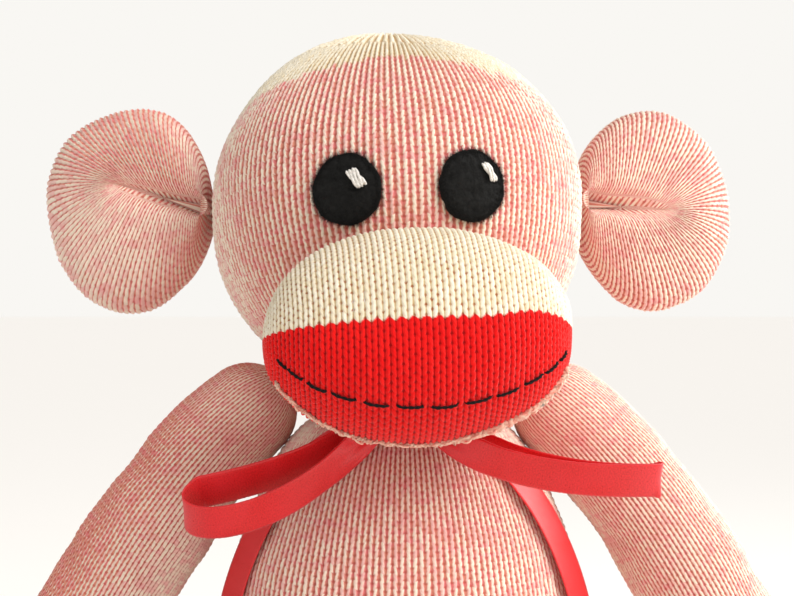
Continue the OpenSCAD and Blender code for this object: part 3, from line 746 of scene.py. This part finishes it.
def make_ear(material, filling, side, name, crease_end, crease_root, seed):
    """A half moon folded into a round, plump ear, whose wales run out from the crease where it is gathered."""
    most, course = 50, 2.15
    cols = most * COLUMNS_PER_WALE
    rise = np.linspace(0.02, math.pi - 0.02, 150)
    angles = TAU * np.arange(cols) / cols
    centre_x = EAR_W / 2 - EAR_FOLD_R
    cosines, sines = (np.sign(v) * np.abs(v) ** 0.96 for v in (np.cos(angles), np.sin(angles)))
    rim = np.stack([centre_x + EAR_W / 2 * cosines, EAR_H / 2 * sines], axis=1)
    share = 0.5 + 0.5 * np.cos(angles)
    crease = np.array(crease_root) + (np.array(crease_end) - np.array(crease_root)) * share[:, None]
    reach = np.sin(rise)[:, None]
    front = (rise < math.pi / 2)[:, None]
    flat = crease[None] * (1 - reach)[..., None] + rim[None] * reach[..., None]
    deep = 0.9 - 0.72 * smooth(share, 0.25, 1.0)[None, :]
    plump = (1 - reach ** 2.6) ** 0.5

    def pillow(thick, width, shrink):
        """Front and back of the ear: its half thickness, the crease's width and its share of the outline's size."""
        fold = np.exp(-((reach / width) ** 1.5)) * deep
        depth = np.where(front, plump * (1 - fold), -plump)
        middle = np.array([centre_x, 0])
        plan = middle + (flat - middle) * shrink
        return np.stack([plan[..., 0], -thick * depth, plan[..., 1]], axis=2)

    points, inner = pillow(EAR_T / 2, 0.09, 1.0), pillow(EAR_T / 2 - 2.2, 0.5, 0.93)[1:-1:3, ::COLUMNS_PER_WALE]
    ring = np.linalg.norm(np.roll(points, -1, axis=1) - points, axis=2).sum(axis=1)
    counts = gauge(np.minimum(1.7 * ring, ring.max()), most, ring.max())
    wales = counts[:, None] * (np.arange(cols + 1) / cols)[None, :]
    courses = (distances(points[:, 0]) / course)[:, None] * np.ones((1, cols + 1))
    normals = outward(points, np.array([centre_x, 0, 0]))
    fade = smooth(reach, 0.06, 0.3)
    relief = 0.7 * fade * stitch_relief(wales, courses, 0.35, seed)
    lumps = 0.3 + 0.6 * wander(points, 16, seed + 80) + 0.25 * wander(points, 8, seed + 81)
    near_head = 1 - smooth(share, 0.0, 0.35)[None, :]
    lift = (relief + lumps * fade) * (1 - 0.7 * near_head) - 1.4 * near_head
    points = points + normals * lift[..., None]

    def placed(grid):
        grid = grid + [EAR_OUT[side], 0, 0]
        if side < 0:
            grid = grid[:, ::-1] * np.array([-1, 1, 1])
        return grid @ turn("Z", side * EAR_BACK).T + [0, 0, EAR_Z[side]]

    if side < 0:
        wales, courses = wales[:, ::-1], courses[:, ::-1]
    points, inner = placed(points), placed(inner)
    core = knit_mesh(f"{name}_ear_filling", to_head(inner), *plain_map(inner), zones(inner.shape[:2]))
    finish_piece(core, f"{name}_ear", filling, "polyester_filling", f"{name}_ear_stuffing")
    piece = knit_mesh(f"{name}_ear_knit", to_head(points), wales, courses, zones(points.shape[:2], 0, 0, 0.3))
    finish_piece(piece, f"{name}_ear", material, "pink_marl_knit", f"{name}_ear_skin")


def muzzle_radius(x):
    share = np.clip(1 - np.abs(x / (MUZZLE_W / 2)) ** MUZZLE_FULLNESS, 0, 1)
    return MUZZLE_H / 2 * share ** (1 / MUZZLE_FULLNESS)


def on_muzzle(x, down, lift):
    """A point in the head's frame, from its distance across, angle below straight ahead and lift off the muzzle."""
    r = muzzle_radius(x) + lift
    return np.stack([x, -MUZZLE_REACH - r * np.cos(down), MUZZLE_Z - r * np.sin(down)], axis=-1)


def muzzle_lumps(points):
    """Unevenness of the muzzle, over points measured from its own middle."""
    return 0.35 * wander(points, 18, 71) + 0.2 * wander(points, 8, 72) - 0.75


def make_muzzle(material):
    """A bulge turned about a left-to-right axis. Its wales run up and down, and cream meets red along one course."""
    cols, rows = 560, 330
    line = quarter(0.3, MUZZLE_H / 2, 0, MUZZLE_W / 2, MUZZLE_FULLNESS)
    line = np.concatenate([(line * [1, -1])[::-1], line[1:]])
    outline, length = resample(line, rows)
    down = TAU * (np.arange(cols + 1) / cols - 0.5)
    r, x = outline[:, :1], outline[:, 1:2]
    angles = down[None, :-1]
    points = np.stack([np.broadcast_to(x, (rows, cols)), -r * np.cos(angles), -r * np.sin(angles)], axis=2)
    wales = np.linspace(-length / 2, length / 2, rows)[:, None] / MUZZLE_WALE + 0 * down[None, :]
    reach = (MUZZLE_H / 2) ** 0.45 * np.maximum(r, 3) ** 0.55
    border = math.radians(-4) - math.radians(5) * smooth(x, 14, 30) * smooth(-x, -41, -34)
    courses = (border - down[None, :]) * reach / MUZZLE_COURSE
    normals = outward(points, np.zeros(3))
    relief = 0.66 * stitch_relief(wales, courses, 0.7, 9) * smooth(r, 2, 12)
    points = points + normals * (relief + muzzle_lumps(points))[..., None]
    points = points + np.array([0, -MUZZLE_REACH, MUZZLE_Z])
    leg, row = legs_and_rows(wales, courses)
    cream = past(leg, row, 0.0, 0.7)
    piece = knit_mesh("muzzle_knit", to_head(points), wales, courses, zones(cream.shape, cream, 1 - cream, 0.85))
    finish_piece(piece, "head", material, "red_heel_knit", "muzzle_skin")


# ---- Thread, felt and ribbon ----

def tubes_mesh(name, tubes, sides=8):
    """One mesh of round tubes with tapered ends. Each tube is (points, radii)."""
    verts, faces = [], []
    for line, radii in tubes:
        line = np.asarray(line, float)
        along = unit(np.gradient(line, axis=0))
        helper = np.array([0.0, 0.0, 1.0]) if abs(along[:, 2]).mean() < 0.8 else np.array([1.0, 0.0, 0.0])
        a = unit(np.cross(along, helper))
        b = np.cross(along, a)
        angles = TAU * np.arange(sides) / sides
        rings = line[:, None] + np.asarray(radii)[:, None, None] * (
            a[:, None] * np.cos(angles)[None, :, None] + b[:, None] * np.sin(angles)[None, :, None])
        start, count = sum(len(v) for v in verts), len(line)
        verts.append(np.concatenate([rings.reshape(-1, 3), line[:1], line[-1:]]))
        for i in range(count - 1):
            for k in range(sides):
                n = (k + 1) % sides
                faces.append((start + i * sides + k, start + (i + 1) * sides + k, start + (i + 1) * sides + n,
                              start + i * sides + n))
        tip = start + count * sides
        for k in range(sides):
            n = (k + 1) % sides
            faces.append((tip, start + k, start + n))
            faces.append((tip + 1, start + (count - 1) * sides + n, start + (count - 1) * sides + k))
    mesh = bpy.data.meshes.new(name)
    mesh.from_pydata((np.concatenate(verts) * MM).tolist(), [], faces)
    mesh.polygons.foreach_set("use_smooth", np.ones(len(mesh.polygons), bool))
    mesh.update()
    return add_object(name, mesh)


def twisted(line, radius, pitch, rng):
    """The two plies of a thread along a line, as tubes that thin at their ends."""
    line, length = resample(line, len(line))
    along = unit(np.gradient(line, axis=0))
    a = unit(np.cross(along, [0.13, 0.21, 0.97]))
    b = np.cross(along, a)
    run = np.linspace(0, length, len(line))
    made = []
    for ply in range(2):
        angle = TAU * (run / pitch + ply / 2)
        wobble = rng.normal(size=(len(line), 3)) * radius * 0.06
        path = line + radius / 2 * (a * np.cos(angle)[:, None] + b * np.sin(angle)[:, None]) + wobble
        radii = radius * 0.62 * rng.uniform(0.92, 1.08, len(line))
        radii[[0, -1]] *= 0.55
        made.append((path, radii))
    return made


def make_smile(material):
    """Twelve running stitches, each a twisted thread that dips into the knit at both ends."""
    rng = np.random.default_rng(5)
    tubes = []
    bend = math.radians(SMILE_BEND)
    for i in range(SMILE_COUNT):
        ends = np.array([i + SMILE_GAP / 2, i + 1 - SMILE_GAP / 2]) + rng.uniform(-0.05, 0.05, 2)
        t = -1 + 2 * np.linspace(ends[0], ends[1], 16) / SMILE_COUNT
        x = SMILE_REACH * np.sin(t * bend) / math.sin(bend)
        low, high = SMILE_LOW, np.where(t < 0, SMILE_RIGHT, SMILE_LEFT)
        down = np.radians(low - (low - high) * np.abs(t) ** 2.1 + rng.uniform(-0.5, 0.5))
        surface = on_muzzle(x, down, 0.0) - [0, -MUZZLE_REACH, MUZZLE_Z]
        lift = 0.62 + muzzle_lumps(surface) - 1.3 * (np.abs(np.linspace(-1, 1, 16)) ** 6)
        tubes += twisted(on_muzzle(x, down, lift), 0.40, 3.2, rng)
    piece = tubes_mesh("smile_thread", [(to_head(p), r) for p, r in tubes])
    finish_piece(piece, "head", material, "black_thread", "smile_stitches")


def make_muzzle_seam(material):
    """The turned edge of the muzzle: a soft cream and pink yarn whipped over the join, with a few loose loops."""
    rng = np.random.default_rng(8)
    a = np.radians(np.linspace(3, 177, 420))
    x = (MUZZLE_W / 2 - 3.5) * np.cos(a)
    down = np.radians(62 + 20 * np.sin(a))
    thick = 0.55 + 0.5 * smooth(x, -5, 25)
    lift = 0.3 + muzzle_lumps(on_muzzle(x, down, 0.0) - [0, -MUZZLE_REACH, MUZZLE_Z])
    line = on_muzzle(x, down, lift) + 0.18 * rng.normal(size=(len(a), 3))
    tubes = []
    run = np.linspace(0, 110, len(a))
    for ply in range(3):
        angle = TAU * (run / 3.1 + ply / 3)
        path = line + (thick * 0.62)[:, None] * np.stack([0 * angle, np.cos(angle), np.sin(angle)], axis=1)
        tubes.append((path, thick * rng.uniform(0.5, 0.72, len(a))))
    for _ in range(46):
        t = rng.uniform(0.06, 0.94) if rng.random() < 0.45 else rng.uniform(0.08, 0.42)
        i = int(t * (len(a) - 1))
        size = rng.uniform(0.7, 1.7)
        turn_at = np.linspace(0, math.pi, 9)
        along = unit(line[min(i + 3, len(a) - 1)] - line[max(i - 3, 0)])
        out = np.array([0, -0.75, -0.35]) + rng.normal(size=3) * 0.25
        loop = line[i] + along * (np.cos(turn_at) * size * 0.8)[:, None] + out * (np.sin(turn_at) * size)[:, None]
        tubes.append((loop, np.full(9, rng.uniform(0.2, 0.34))))
    piece = tubes_mesh("muzzle_edge_yarn", [(to_head(p), r) for p, r in tubes], 6)
    finish_piece(piece, "head", material, "cream_thread", "muzzle_stitching")


def fibre_mesh(name, roots, ways, lengths, radius, bend, rng):
    """Loose fibres: thin three-sided hairs from their roots, bending as they go."""
    count = len(roots)
    across = unit(np.cross(ways, rng.normal(size=(count, 3))))
    other = np.cross(ways, across)
    rings = []
    for t in (0.0, 0.5, 1.0):
        centre = roots + ways * (lengths * t)[:, None] + across * (bend * lengths * t * t)[:, None]
        size = radius * (1 - 0.75 * t)
        for k in range(3):
            rings.append(centre + size * (across * math.cos(TAU * k / 3) + other * math.sin(TAU * k / 3)))
    verts = np.stack(rings, axis=1).reshape(-1, 3)
    base = np.arange(count)[:, None, None] * 9
    quads = np.array([[i * 3 + k, i * 3 + (k + 1) % 3, i * 3 + 3 + (k + 1) % 3, i * 3 + 3 + k]
                      for i in range(2) for k in range(3)])
    quads = (base + quads[None]).reshape(-1, 4)
    caps = (base + np.array([[0, 2, 1], [6, 7, 8]])[None]).reshape(-1, 3)
    mesh = face_mesh(name, verts, quads, caps)
    mesh.update(calc_edges=True)
    mesh.validate()
    return add_object(name, mesh)


def eye_frame(points, side):
    """From the eye's own frame, with -Y straight out of the face, to the row frame."""
    return to_head(points @ turn("Z", side * EYE_ANGLE).T)


def make_eye(felt, thread, side, name, strands, seed):
    rng = np.random.default_rng(seed)
    rings, cols = 34, 120
    angles = TAU * np.arange(cols) / cols
    outline = EYE_D / 2 * (1 + 0.018 * np.cos(2 * angles + seed) + 0.012 * np.cos(3 * angles + 2 * seed)
                           + 0.012 * np.cos(7 * angles + seed))
    top = np.sin(np.linspace(0.03, math.pi / 2, 22))
    rho = np.concatenate([top, np.full(4, 1.0), np.linspace(0.98, 0.05, rings - 26)])
    level = np.concatenate([1 - 0.16 * top ** 8, [0.66, 0.44, 0.22, 0.0], np.full(rings - 26, 0.0)])
    x = rho[:, None] * outline[None, :] * np.cos(angles)[None, :]
    z = EYE_Z + rho[:, None] * outline[None, :] * np.sin(angles)[None, :]

    def face(x, z):
        y = -np.sqrt(np.maximum(head_radius(z) ** 2 - x ** 2, 1))
        return y - head_lumps(np.stack([x, y, z], axis=-1) @ turn("Z", side * EYE_ANGLE).T)

    thick = 0.25 + (FELT_T - 0.25) * level[:, None] + 0.35 * (1 - rho[:, None] ** 2) * (level[:, None] > 0.7)
    points = np.stack([x, face(x, z) - thick, z], axis=2)
    points[:26] += (0.16 * wander(points[:26], 1.1, seed, 40) + 0.10 * wander(points[:26], 2.6, seed + 1))[..., None] \
        * np.array([0.3, -1, 0.3])
    piece = knit_mesh(f"{name}_eye_disc", eye_frame(points, side), *plain_map(points), zones(points.shape[:2]))
    finish_piece(piece, "head", felt, "black_felt", f"{name}_eye_felt")
    count = EYE_FIBRES
    r = np.sqrt(rng.uniform(0, 1, count))
    r[: count // 2] = rng.uniform(0.9, 1.0, count // 2)
    th = rng.uniform(0, TAU, count)
    edge = np.interp(th, angles, outline, period=TAU)
    rx, rz = r * edge * np.cos(th), EYE_Z + r * edge * np.sin(th)
    down = rng.uniform(0.3, 1.0, count) * np.where(r > 0.93, 1, 0) + np.where(r > 0.93, 0, 1)
    roots = np.stack([rx, face(rx, rz) - FELT_T * down, rz], axis=1)
    ways = np.stack([np.cos(th) * r ** 4, -0.25 - 0.3 * (1 - r), np.sin(th) * r ** 4], axis=1)
    ways = unit(ways + 0.5 * rng.normal(size=(count, 3))) @ (HEAD_ROTATION @ turn("Z", side * EYE_ANGLE)).T
    fuzz = fibre_mesh(f"{name}_eye_fuzz", eye_frame(roots, side), ways, rng.uniform(0.5, 1.7, count), 0.045, 0.6, rng)
    finish_piece(fuzz, "head", felt, "black_felt")
    tubes = []
    for i in range(strands):
        off = (i - (strands - 1) / 2) * 1.0
        t = np.linspace(-1, 1, 14)
        gx = (4.4 if side > 0 else 3.2) + off * 0.8 + 1.5 * t + rng.uniform(-0.1, 0.1)
        gz = EYE_Z + (3.4 if side > 0 else 2.4) + off * 0.35 - 2.3 * t
        y = face(gx, gz) - FELT_T - 0.45 - 0.75 * (1 - t ** 4)
        tubes += twisted(np.stack([gx, y, gz], axis=1), 0.62, 5.5, rng)
    glint = tubes_mesh(f"{name}_eye_thread", [(eye_frame(p, side), r) for p, r in tubes])
    finish_piece(glint, "head", thread, "cream_thread", f"{name}_eye_glint")


def bezier(points, t):
    points = [np.asarray(p, float)[None] * np.ones((len(t), 1)) for p in points]
    while len(points) > 1:
        points = [a * (1 - t)[:, None] + b * t[:, None] for a, b in zip(points, points[1:])]
    return points[0]


def body_radius(z):
    """The torso's radius at a height between the belly and the shoulders."""
    share = (z - BELLY_Z) / (NECK[2] - SHOULDER_DROP - BELLY_Z)
    return float(BODY_NECK_R + (BELLY_R - BODY_NECK_R) * (1 - share ** 2.2) ** (1 / 2.2))


def round_body(a, z, off):
    """A point round the body: direction from straight ahead, height above the seat, distance off the skin."""
    r = body_radius(z) + off
    return [r * math.sin(math.radians(a)), -r * math.cos(math.radians(a)), z]


def ribbon_mesh(name, path, across, side, both_ends):
    """A woven strip along a path, with rolled edges and a picot of tiny loops."""
    steps, wide = len(path), 17
    knots = (np.arange(steps) / (steps - 1)) * (24 if both_ends else 12)
    from_knot = np.minimum(knots, knots[-1] - knots) if both_ends else knots
    turned = smooth(from_knot, 0, 6)[:, None]
    lie = unit(np.array([0.8, 0.42, 0.42]) * (1 - turned) + np.array(across) * turned)
    along = unit(np.gradient(path, axis=0))
    lie = unit(lie - along * np.sum(lie * along, axis=1, keepdims=True) * 0.6)
    face = unit(np.cross(along, lie))
    open_share = np.minimum(1, 0.35 + from_knot * 0.13)
    run = distances(path)
    picot = 0.10 * np.abs(np.sin(run * math.pi / 1.1))
    s = np.linspace(-1, 1, wide)
    # Where it is drawn in at the knot, the strip is folded into pleats.
    pleat = 0.7 * (1 - open_share)[:, None] * np.cos(s * math.pi * 2.5)[None, :]
    cup = 0.1 * open_share[:, None] * (s ** 2)[None, :] * np.sin(run / 9.0)[:, None]
    half = (RIBBON_W / 2 * open_share + picot)[:, None] * s[None, :]
    thick = RIBBON_T / 2 * np.sqrt(np.clip(1 - 0.7 * np.abs(s) ** 8, 0.05, 1))[None, :] * np.ones((steps, 1))
    middle = path[:, None] + lie[:, None] * half[..., None] + face[:, None] * (pleat + cup)[..., None]
    top = middle + face[:, None] * thick[..., None]
    bottom = middle - face[:, None] * thick[..., None]
    ring = np.concatenate([top, bottom[:, ::-1]], axis=1) * np.array([side, 1, 1])
    if side < 0:
        ring = ring[:, ::-1]
    return knit_mesh(name, ring, *plain_map(ring), zones(ring.shape[:2])), run[-1]


def make_ribbon(satin):
    band_r = NECK_BALL_R + 2 * TIE_PLAY + DRAWSTRING_R
    knot = np.array([0, -band_r - 2 * RIBBON_T - 4 - 0.15, NECK[2] - 1])
    chin = NECK[2] + MUZZLE_Z - MUZZLE_H / 2
    start, finish = knot + [4.5, -4.5, -1], knot + [2.8, -7, -1]
    tip, open_tip = round_body(54, chin - 1.5, 41), round_body(51.5, chin - 5, 29)
    loops = {
        "left": ([start, round_body(25, chin + 4, 5.5), round_body(41, chin - 2, 20), tip],
                 [tip, round_body(57, chin - 1, 55), round_body(32, chin - 3, 29.5), round_body(17.5, chin, 10),
                  finish]),
        "right": ([start, round_body(24, chin + 4, 5.2), round_body(38, chin - 1, 18), open_tip],
                  [open_tip, round_body(57, chin - 15, 39.5), round_body(36.5, chin - 20, 22),
                   round_body(20.5, chin - 1, 10.5), finish]),
    }
    t = np.linspace(0, 1, 90)
    tail = bezier([knot + [5, -3, -3.5], round_body(30, NECK[2] - 11, 8), round_body(54, NECK[2] - 17, 8),
                   round_body(62, NECK[2] - 42, 5), round_body(66, NECK[2] - 58, 4.5),
                   round_body(66, NECK[2] - 77, 4.5)], t)
    for name, side in (("left", 1), ("right", -1)):
        out, back = loops[name]
        path = np.concatenate([bezier(out, t)[:-1], bezier(back, t)])
        inner = np.concatenate([[path[0] + [-3.5, 3.5, 0.5]], path, [path[-1] + [-1.5, 4.5, 0.5]]])
        path, _ = resample(inner, 240)
        piece, length = ribbon_mesh(f"{name}_bow_loop", path, [0, -0.5, 0.87], side, True)
        finish_piece(piece, "body", satin, "red_satin", f"{name}_ribbon_loop")
        path, _ = resample(np.concatenate([[tail[0] + [-3, 2.5, 2]], tail]), 160)
        piece, length = ribbon_mesh(f"{name}_bow_tail", path, [0.55, 0.8, 0.15], side, False)
        finish_piece(piece, "body", satin, "red_satin", f"{name}_ribbon_tail")


make_camera()
make_light()
make_stage()
knit = knit_material("rag_wool_knit")
filling = filling_material()
make_head(knit)
make_body(knit)
make_arms(knit)
make_legs(knit)
make_tail(knit)
make_muzzle(knit)
make_ear(knit, filling, 1, "left", (EAR_W / 2 - EAR_FOLD_R + 1, -2), (-3.0, 1.5), 12)
make_ear(knit, filling, -1, "right", (EAR_W / 2 - EAR_FOLD_R + 1, 6), (-3.0, -2.5), 13)

felt = plain_material("black_felt", srgb(3, 3, 3), srgb(20, 20, 19), 1300, 1.0, 0.0009)
white_thread = plain_material("white_thread", srgb(214, 206, 196), srgb(252, 250, 246), 2200, 0.7, 0.0002, sheen=0.3)
black_thread = plain_material("black_thread", srgb(2, 2, 2), srgb(14, 10, 10), 2200, 1.0, 0.0002)
edge_yarn = plain_material("edge_yarn", srgb(232, 150, 130), srgb(250, 226, 202), 700, 0.9, 0.0003, sheen=0.3)
satin = satin_material()
make_eye(felt, white_thread, 1, "left", 2, 3)
make_eye(felt, white_thread, -1, "right", 3, 4)
make_smile(black_thread)
make_muzzle_seam(edge_yarn)
make_ribbon(satin)

looks = {"stuffing": filling, "ribbon_band": satin, "ribbon_knot": satin,
         "seam": edge_yarn, "neck_drawstring": edge_yarn, "neck_gather": edge_yarn}
for node_name, node in frame["nodes"].items():
    look = looks.get(node_name) or looks.get(node_name.split("_")[-1])
    if look:
        paint(node, look)
